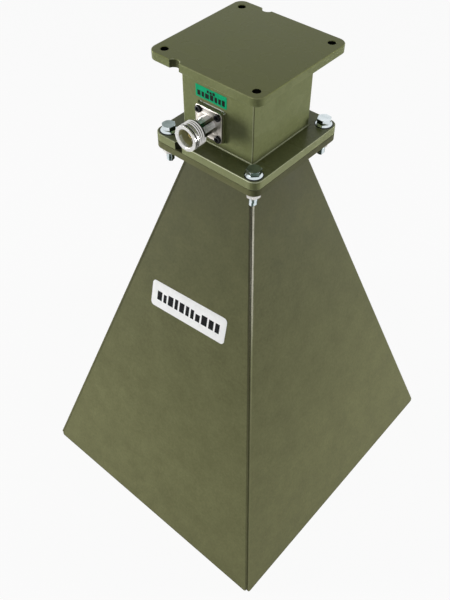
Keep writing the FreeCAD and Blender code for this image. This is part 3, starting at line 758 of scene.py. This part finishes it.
# Carried-over CAD nodes keep their shape and get their finish
nodeFinishes = {"connector_insulator": "whitePlastic", "centre_contact": "gilt", "feed_probe": "brass",
                "band_label": "greenTape", "horn_label": "whiteSticker", "horn_flange": "hornPaint"}
for node in ("mounting_plate", "waveguide_body", "adapter_flange", "connector_pad"):
    nodeFinishes[node] = "adapterPaint"
for side in ("front", "right", "back", "left"):
    nodeFinishes["horn_panel_" + side] = "hornPaint"

for node, finish in nodeFinishes.items():
    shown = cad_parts[node]
    shown.data.materials.clear()
    shown.data.materials.append(materials[finish])
print("CAD nodes dressed:", len(nodeFinishes))


# The jack lies along -Y: its own Z points out of the wall
padLow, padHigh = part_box("connector_pad")
contactLow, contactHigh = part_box("centre_contact")
jackAxis = middleOf(contactLow, contactHigh)
jackAxis.y = padHigh.y
jackPlace = Matrix.Translation(jackAxis) @ outOfWall @ toMetres

jackShell = {
    "pad": 1.8, "flange": 20.0, "flangeThick": 1.4, "flangeCorner": 2.0, "flangeEdge": 0.18,
    "screwPitch": 14.6, "screwHole": 3.2, "barrel": 11.2, "couplingBack": 13.4, "front": 22.6, "lip": 1.1,
    "groove": 0.8, "grooveDepth": 1.1, "coupling": 15.9, "lead": 0.3, "threadDepth": 0.5,
    "threadPitch": 1.45, "threadLength": 5.4, "threadSpare": 0.35, "threadSunk": 0.02,
    "threadSteps": 72, "ridge": 0.5, "ridgeLift": 0.3, "bore": 10.8, "boreBevel": 0.5, "boreFloor": 13.6,
    "boreStep": 2.6, "boreWiden": 0.02, "core": 6.6, "softness": 0.16, "steps": 96, "seatOverlap": 0.6,
    "shadedTurns": ((44, 66), (-60, 4), (128, 150), (-150, -110)), "litTurns": (-172, -82), "litReach": 2.7}


jackFinishes = ("nickel", "boreOliveReflection", "threadShade", "satinNickel", "barrelDarkReflection", "barrelBrightReflection")


def buildJackShell(sizes):
    half, bore, core = sizes["coupling"] / 2, sizes["bore"] / 2, sizes["core"] / 2
    root, floor = half - sizes["threadDepth"], sizes["boreFloor"]
    neck = half - sizes["grooveDepth"]
    pad, front, back = sizes["pad"], sizes["front"], sizes["couplingBack"]
    lipBack = front - sizes["lip"]
    grooveBack = lipBack - sizes["groove"]
    threadFront = back + sizes["threadLength"]
    outline = [
        (core, pad), (sizes["barrel"] / 2, pad), (sizes["barrel"] / 2, back), (root, back),
        (root, threadFront), (half, threadFront + sizes["lead"]), (half, grooveBack), (neck, grooveBack),
        (neck, lipBack), (half, lipBack), (half, front), (bore + sizes["boreBevel"], front),
        (bore, front - sizes["boreBevel"]), (bore + sizes["boreWiden"], front - sizes["boreStep"]),
        (bore, floor), (core, floor)]

    # painted shade in the thread's root and the groove, a painted highlight inside the bore's mouth, the
    # bore's painted olive reflection, and dark and bright bands of painted reflection round the barrel
    def finishOf(reach, rise, turn):  # the thread's root and the groove, the bore, and the barrel
        inGroove = bore + 0.6 < reach < half - 0.15 and grooveBack < rise < lipBack
        if inGroove or (abs(reach - root) < 0.06 and back < rise < threadFront):
            return "threadShade"
        if reach < bore + 0.03 and rise > front - sizes["litReach"]:
            if sizes["litTurns"][0] < turn < sizes["litTurns"][1]:
                return "barrelBrightReflection"
        if reach < bore + 0.02 and rise > floor - 0.1:
            return "boreOliveReflection"
        if reach > bore * 0.9 and rise < back - 0.3:
            shaded = any(start < turn < end for start, end in sizes["shadedTurns"])
            return "barrelDarkReflection" if shaded else "barrelBrightReflection"
        return "nickel"

    turned = toMesh("turned", ringBody(softCorners(outline, sizes["softness"]), sizes["steps"], closed=True))
    for face in turned.polygons:
        face.material_index = jackFinishes.index(finishOf(reachOf(face), face.center.z, turnOf(face)))
    reach = sizes["screwPitch"] / 2
    holes = [(x * reach, y * reach, sizes["screwHole"]) for x in (-1, 1) for y in (-1, 1)]
    holes.append((0, 0, sizes["barrel"] - sizes["seatOverlap"]))
    plate = flatPlate("jackFlange", sizes["flange"], sizes["flange"], sizes["flangeCorner"],
                      sizes["flangeThick"], sizes["flangeEdge"], holes)
    plate.transform(Matrix.Translation((0, 0, pad + sizes["flangeThick"] / 2)))
    for face in plate.polygons:
        face.material_index = jackFinishes.index("satinNickel")
    ridge = grow("jackThread", threadGrowth, {
        "Root Radius": root, "Pitch": sizes["threadPitch"],
        "Turns": sizes["threadLength"] / sizes["threadPitch"] - sizes["threadSpare"],
        "Depth": sizes["threadDepth"] - sizes["threadSunk"], "Width": sizes["ridge"],
        "Steps": sizes["threadSteps"], "Material": materials["nickel"]})
    ridge.transform(Matrix.Translation((0, 0, back + sizes["ridgeLift"])))
    whole = joinMeshes("jackShell", [turned, plate, ridge])
    whole.transform(jackPlace)
    return keepPiece("jackShell", whole, jackFinishes[0], ["connector_shell"], jackFinishes[1:])


buildJackShell(jackShell)
print("jack shell made")


# A fine seam where the pad's top meets the wall, and down its right-hand corner, pale as rubbed paint and
# with a painted highlight
padSeam = {"radius": 0.40, "ripple": 0.10, "rippleLength": 1.1, "unevenness": 0.5, "step": 0.35, "seed": 3.0,
           "start": 1.6, "gapFrom": 3.4, "gapTo": 4.1, "stop": 0.9, "out": 0.05, "sunk": 0.15,
           "dropFrom": 0.5, "dropTo": 0.3}


def buildPadSeam(sizes):
    low, high = padLow / mm, padHigh / mm
    wall, top, side = high.y - sizes["out"], high.z, high.x - sizes["sunk"]
    runs = [
        [(low.x + sizes["start"], wall, top), (low.x + sizes["gapFrom"], wall, top)],
        [(low.x + sizes["gapTo"], wall, top), (high.x - sizes["stop"], wall, top)],
        [(side, wall, top - sizes["dropFrom"]), (side, low.y + sizes["dropTo"], top - sizes["dropFrom"])]]
    seam = growBead("padSeam", pathMesh("padPath", runs), sizes, "rubbedAndLitPaint")
    return keepPiece("padSeam", seam, "rubbedAndLitPaint")


buildPadSeam(padSeam)
print("pad seam made")


# Solder run down the horn's four corners, lying in the fine step where the walls meet
cornerRun = {"radius": 0.5, "ripple": 0.10, "rippleLength": 2.4, "unevenness": 0.45, "step": 1.2, "seed": 8.0,
             "foot": 4.0, "head": 302.5, "aside": 0.35, "ahead": 0.02}


def buildCornerRun(sizes):
    runs = []
    for right in (1, -1):
        for back in (1, -1):
            run = []
            for height in (sizes["foot"], sizes["head"]):
                wide = hornSeam["frontEnd"] - hornSeam["frontSlope"] * height + sizes["aside"]
                deep = hornSeam["sideEnd"] - hornSeam["sideSlope"] * height + sizes["ahead"]
                run.append((right * wide, back * deep, height))
            runs.append(run)
    seam = growBead("cornerRun", pathMesh("cornerPath", runs), sizes, "hornPaint")
    return keepPiece("cornerRun", seam, "hornPaint")


buildCornerRun(cornerRun)
print("corner runs made")


# Four cap screws hold the jack, with knurled heads and hexagon sockets
capScrew = {"seat": 3.2, "head": 4.6, "height": 1.3, "bevel": 0.3, "knurl": 0.10, "ribs": 30,
            "ribSpare": 0.2, "socket": 2.0, "socketDepth": 0.8, "socketBevel": 0.15, "shank": 3.0,
            "length": 6.0, "tip": 0.3, "steps": 48}


def buildCapScrew(name, node, sizes):
    low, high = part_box(node)
    half, top, shank = sizes["head"] / 2 - sizes["knurl"], sizes["height"], sizes["shank"] / 2
    bevel, tip, length = sizes["bevel"], sizes["tip"], sizes["length"]
    socket = hexagon(sizes["socket"])
    wider = hexagon(sizes["socket"] + 2 * sizes["socketBevel"])
    rings = [
        (shank - tip, -length), (shank, tip - length), (shank, 0), (half, 0), (half, top - bevel),
        (half - bevel * 0.3, top - bevel * 0.3), (half - bevel, top), (wider, top),
        (socket, top - sizes["socketBevel"]), (socket, top - sizes["socketDepth"])]
    body = toMesh("capScrew", ringBody(rings, sizes["steps"]))
    ribs = grow("knurl", knurlGrowth, {
        "Ribs": sizes["ribs"], "Radius": half, "Height": top - bevel - sizes["ribSpare"],
        "Rib Size": sizes["knurl"], "Material": materials["blackOxide"]})
    ribs.transform(Matrix.Translation((0, 0, (top - bevel) / 2)))
    whole = joinMeshes(name, [body, ribs])
    seat = middleOf(low, high)
    seat.y = jackAxis.y - sizes["seat"] * mm
    whole.transform(Matrix.Translation(seat) @ outOfWall @ toMetres)
    return keepPiece(name, whole, "blackOxide", [node])


for number in "1234":
    buildCapScrew("capScrew" + number, "connector_screw_" + number, capScrew)
print("cap screws made")


# Flange bolts and nuts, each turned as it came to rest, in the order of the CAD's numbers, with painted
# reflections on chosen flats, tops and thread bands
flangeBolt = {
    "flats": 8.0, "height": 4.4, "collar": 10.4, "collarRim": 0.6, "collarRise": 1.4, "softFoot": 0.1,
    "softRim": 0.12, "topEdge": 0.05, "dish": 0.35, "dishDepth": 0.02, "diameter": 5.0, "length": 21.4,
    "plain": 11.0, "pitch": 0.8, "depth": 0.42, "ridge": 0.46, "threadSpare": 0.6, "threadLift": 0.25,
    "threadSteps": 32, "tip": 0.4, "steps": 96,
    "turns": (-10, -44, -37, 8), "darkReflectionFlats": ((0, 3), (0, 1, 3), (5, 2), (1, 4)),
    "dullReflectionTops": (True, True, False, True), "shadeFrom": 16, "shadeTo": 50}
flangeNut = {"flats": 8.0, "height": 4.5, "bore": 5.02, "bevel": 0.45, "rim": 0.1, "cut": 0.05,
             "steps": 96, "turns": (15, 45, 20, 52)}
boltFinishes = ("zinc", "zincDullReflection", "zincDarkReflection")


def buildFlangeBolt(name, node, sizes, turn, darkReflectionFlats, dullReflectionTop):
    low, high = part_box(node)
    flats, top, reach, tip = sizes["flats"], sizes["height"], sizes["diameter"] / 2, sizes["tip"]
    core, length, plain = reach - sizes["depth"], sizes["length"], sizes["plain"]
    collar, rim, rise = sizes["collar"] / 2, sizes["collarRim"], sizes["collarRise"]
    foot, soft = sizes["softFoot"], sizes["softRim"]
    rings = [
        (core - tip, -length), (core, tip - length), (core, -plain), (reach, sizes["depth"] - plain),
        (reach, 0), (collar - foot, 0), (collar, foot), (collar, rim - soft), (collar - soft, rim),
        (hexagon(flats), rise), (hexagon(flats), hexBevel(flats, top)),
        (flats / 2 - sizes["topEdge"], top), (flats / 2 - sizes["dish"], top - sizes["dishDepth"])]
    body = toMesh("boltBody", ringBody(rings, sizes["steps"]))
    # painted reflections: some bolt tops painted duller and chosen flats painted dark, standing in for what
    # each face reflects
    for face in body.polygons:
        flat = round(turnOf(face) / 60) % 6
        if face.center.z > top - 0.1 and dullReflectionTop:
            face.material_index = boltFinishes.index("zincDullReflection")
        elif rise < face.center.z < top - 0.15 and flat in darkReflectionFlats:
            face.material_index = boltFinishes.index("zincDarkReflection")
    ridge = grow("boltThread", threadGrowth, {
        "Root Radius": core, "Pitch": sizes["pitch"],
        "Turns": (length - plain) / sizes["pitch"] - sizes["threadSpare"],
        "Depth": sizes["depth"], "Width": sizes["pitch"] * sizes["ridge"],
        "Steps": sizes["threadSteps"], "Material": materials["zinc"]})
    ridge.transform(Matrix.Translation((0, 0, sizes["threadLift"] - length)))
    whole = joinMeshes(name, [body, ridge])
    seat = middleOf(low, high)
    seat.z = low.z + length * mm
    whole.transform(Matrix.Translation(seat) @ turnedTo(turn) @ toMetres)
    # painted reflection: the dark bands down the threaded end
    for face in whole.polygons:  # dark bands down the threaded end, four round it
        away = face.center - seat
        quarter = math.degrees(math.atan2(away.y, away.x)) % 90
        if away.z < -plain * mm and sizes["shadeFrom"] < quarter < sizes["shadeTo"]:
            face.material_index = boltFinishes.index("zincDarkReflection")
    return keepPiece(name, whole, boltFinishes[0], [node], boltFinishes[1:])


def buildFlangeNut(name, node, sizes, turn):
    low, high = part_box(node)
    flats, thick, bore, bevel = sizes["flats"], sizes["height"], sizes["bore"] / 2, sizes["bevel"]
    rim, cut = flats / 2 - sizes["rim"], sizes["cut"]
    rings = [
        (bore, bevel), (bore + bevel, 0), (rim, 0), (hexagon(flats), hexBevel(flats, cut, -1)),
        (hexagon(flats), hexBevel(flats, thick - cut)), (rim, thick), (bore + bevel, thick),
        (bore, thick - bevel)]
    whole = toMesh(name, ringBody(rings, sizes["steps"], closed=True))
    seat = middleOf(low, high)
    seat.z = low.z
    whole.transform(Matrix.Translation(seat) @ turnedTo(turn) @ toMetres)
    return keepPiece(name, whole, "zincWarm", [node])


for index, number in enumerate("1234"):
    buildFlangeBolt("flangeBolt" + number, "flange_bolt_" + number, flangeBolt, flangeBolt["turns"][index],
                    flangeBolt["darkReflectionFlats"][index], flangeBolt["dullReflectionTops"][index])
    buildFlangeNut("flangeNut" + number, "flange_nut_" + number, flangeNut, flangeNut["turns"][index])
print("flange bolts and nuts made")


# Printed bars on the two labels, in place of any wording
labelBars = {"bars": 11, "narrow": 2.5, "wide": 5.2, "gap": 1.5, "low": 5.4, "tall": 8.2, "thick": 0.05,
             "seed": 4, "turn": 4.5, "sheet": 0.15, "wall": 1.58}
tapeBars = {
    "thick": 0.03,
    "short": {"bars": 3, "narrow": 1.4, "wide": 2.1, "gap": 0.5, "low": 1.5, "tall": 1.9, "seed": 2,
              "up": 2.0},
    "long": {"bars": 7, "narrow": 1.9, "wide": 2.9, "gap": 0.8, "low": 3.0, "tall": 3.6, "seed": 9,
             "up": -0.9}}


def barRow(row, thick):
    return grow("bars", barGrowth, {
        "Bars": row["bars"], "Narrow": row["narrow"], "Wide": row["wide"], "Gap": row["gap"],
        "Low": row["low"], "Tall": row["tall"], "Thickness": thick, "Seed": row["seed"],
        "Material": materials["labelInk"]})


def buildTapeBars(sizes):
    low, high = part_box("band_label")
    rows = []
    for row in (sizes["short"], sizes["long"]):
        mesh = barRow(row, sizes["thick"])
        mesh.transform(Matrix.Translation((0, row["up"], 0)))
        rows.append(mesh)
    whole = joinMeshes("tapeBars", rows)
    middle = middleOf(low, high)
    middle.y = low.y
    whole.transform(Matrix.Translation(middle) @ outOfWall @ toMetres)
    return keepPiece("tapeBars", whole, "labelInk")


def buildLabelBars(sizes):
    low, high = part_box("horn_label")
    wallLow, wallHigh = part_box("horn_panel_front")
    slope = math.atan2(wallHigh.y - wallLow.y - sizes["wall"] * mm, wallHigh.z - wallLow.z)
    facing = Matrix.Rotation(math.radians(90) - slope, 4, "X") @ turnedTo(sizes["turn"])
    whole = barRow(sizes, sizes["thick"])
    whole.transform(Matrix.Translation((0, 0, sizes["sheet"] / 2)))
    whole.transform(Matrix.Translation(middleOf(low, high)) @ facing @ toMetres)
    return keepPiece("labelBars", whole, "labelInk")


buildTapeBars(tapeBars)
buildLabelBars(labelBars)
print("label bars made")


# Light: a pale room, white to the camera and to reflections, and three soft lamps: low at the left
# front and right back, and a weak one above
lampLooks = {
    "leftLamp": {"place": (-900, -950, 180), "size": 380, "power": 14.8},
    "rightLamp": {"place": (1000, 800, 170), "size": 400, "power": 12.6},
    "topLamp": {"place": (0, 0, 1500), "size": 600, "power": 3.2}}
lampAim = (0, 0, 200)
room = {"horizon": 0.44, "zenith": 0.08}
floorLook = {"reach": 6.0, "drop": 0.4, "grey": 0.85, "glow": 0.93}


def addLamp(name, look):
    data = bpy.data.lights.new(name, "AREA")
    data.size = look["size"] * mm
    data.energy = look["power"]
    lamp = addObject(name, data)
    lamp.location = Vector(look["place"]) * mm
    aim = Vector(lampAim) * mm - lamp.location
    lamp.rotation_euler = aim.to_track_quat("-Z", "Y").to_euler()


def whiteToSight(tree):  # 1 for camera, mirror and glass rays
    path = addNode(tree, "ShaderNodeLightPath").outputs
    return mathOf(tree, "MAXIMUM", path["Is Camera Ray"],
                  mathOf(tree, "MAXIMUM", path["Is Glossy Ray"], path["Is Transmission Ray"]))


def addRoom(look):
    world = bpy.data.worlds.new("paleRoom")
    bpy.context.scene.world = world
    world.use_nodes = True
    tree = world.node_tree
    back = tree.nodes["Background"]
    up = splitXyz(tree, addNode(tree, "ShaderNodeTexCoord").outputs["Generated"])["Z"]
    level = spread(tree, up, 0.0, 0.9, look["horizon"], look["zenith"])
    strength = addNode(tree, "ShaderNodeMix", {0: whiteToSight(tree), 2: level, 3: 1.0}).outputs[0]
    tree.links.new(strength, back.inputs["Strength"])
    back.inputs["Color"].default_value = rgb(1, 1, 1)


def addFloor(look):
    size = look["reach"]
    mesh = bpy.data.meshes.new("paleFloor")
    corners = [(-size, -size, 0), (size, -size, 0), (size, size, 0), (-size, size, 0)]
    mesh.from_pydata(corners, [], [(0, 1, 2, 3)])
    floor = addObject("paleFloor", mesh)
    floor.location.z = -look["drop"] * mm
    material, tree, shader = newMaterial("paleFloor")[:3]
    tree.nodes.remove(shader)
    matt = addNode(tree, "ShaderNodeBsdfDiffuse", {"Color": rgb(look["grey"], look["grey"], look["grey"])})
    glow = addNode(tree, "ShaderNodeEmission", {"Color": rgb(1, 1, 1)})
    share = product(tree, whiteToSight(tree), look["glow"])
    mixed = addNode(tree, "ShaderNodeMixShader", {0: share, 1: matt, 2: glow})
    tree.links.new(mixed.outputs[0], tree.nodes["Material Output"].inputs["Surface"])
    mesh.materials.append(material)


for lampName, lampLook in lampLooks.items():
    addLamp(lampName, lampLook)
addRoom(room)
addFloor(floorLook)
bpy.context.scene.view_settings.view_transform = "Standard"
print("light and floor made")
